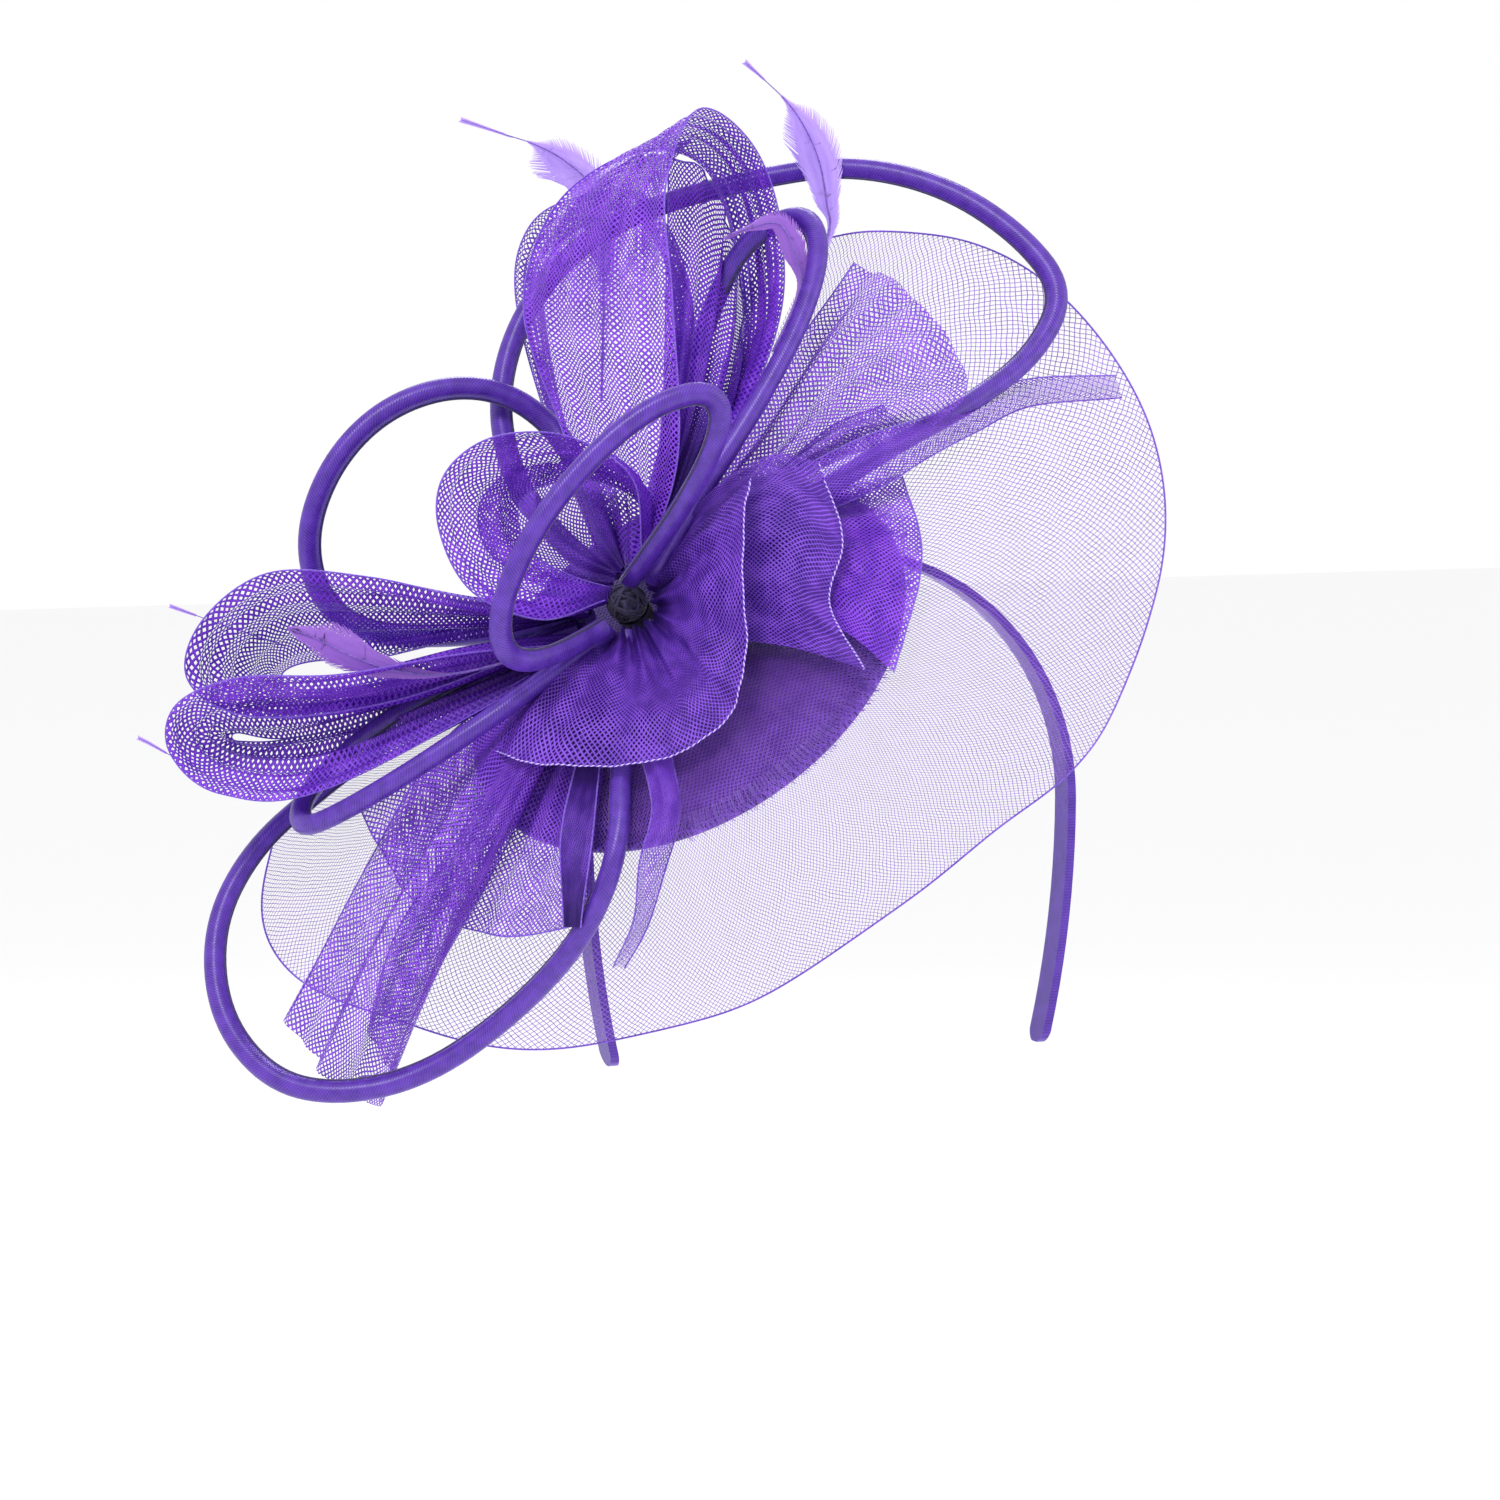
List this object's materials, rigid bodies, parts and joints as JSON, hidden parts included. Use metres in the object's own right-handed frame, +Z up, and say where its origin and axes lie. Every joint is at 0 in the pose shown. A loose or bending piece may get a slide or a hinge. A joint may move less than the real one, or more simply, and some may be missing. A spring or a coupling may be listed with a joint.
{
  "type": "fascinator headpiece",
  "caption": "Satin headband carrying a tilted round base with crin loops, petals, satin tube loops, feathers and a wide net veil, with a hair clip underneath.",
  "frame": {"origin": "centre of the wearer's head, in the plane of the headband, 104 mm below the band's crown", "axes": "+Z up, the wearer faces -Y, +X to the wearer's left; the headband lies in the plane y = 0"},
  "size_m": [0.297, 0.2083, 0.3047],
  "materials": {
    "purple_satin": "satin",
    "purple_sinamay": "woven, matte",
    "purple_crin": "open net, slight gloss",
    "veil_net": "open net, slight gloss",
    "purple_felt": "matte",
    "purple_thread": "matte",
    "lavender_feather": "soft",
    "mauve_feather": "soft",
    "clip_steel": "bright nickel",
    "spring_steel": "plain"
  },
  "bodies": {
    "headpiece": {"band_saddle": "purple_felt", "base_disc": "purple_sinamay", "base_rim_binding": "purple_sinamay", "binding_knot": "purple_thread", "clip_pin": "clip_steel", "clip_plate": "clip_steel", "clip_spring": "clip_steel", "crin_back_loop": "purple_crin", "crin_bottom_tail": "purple_crin", "crin_curl_loop": "purple_crin", "crin_front_petal": "purple_crin", "crin_left_lower_loop": "purple_crin", "crin_left_upper_loop": "purple_crin", "crin_lower_tail": "purple_crin", "crin_middle_petal": "purple_crin", "crin_outer_petal": "purple_crin", "crin_rear_petal": "purple_crin", "crin_right_fan": "purple_crin", "crin_tall_loop": "purple_crin", "feather_back": "lavender_feather", "feather_inner": "mauve_feather", "feather_left": "mauve_feather", "feather_quill_lower": "lavender_feather", "feather_quill_upper": "lavender_feather", "feather_top": "lavender_feather", "felt_pad": "purple_felt", "headband_core": "spring_steel", "headband_satin_sleeve": "purple_satin", "tube_front_ring": "purple_satin", "tube_left_loop": "purple_satin", "tube_low_loop": "purple_satin", "tube_narrow_loop": "purple_satin", "tube_tall_loop": "purple_satin", "tube_top_loop": "purple_satin", "veil": "veil_net"},
    "clip_jaw": {"clip_jaw": "clip_steel"}
  },
  "joints": [
    {"name": "clip_hinge", "type": "hinge", "parent": "headpiece", "child": "clip_jaw", "pos_m": [-0.06193, -0.02527, 0.06788], "axis": [-0.2568, 0.9213, 0.2922], "range_deg": [0, 30], "stiffness_Nm_per_rad": 0.02, "springref_deg": -20.05}
  ]
}
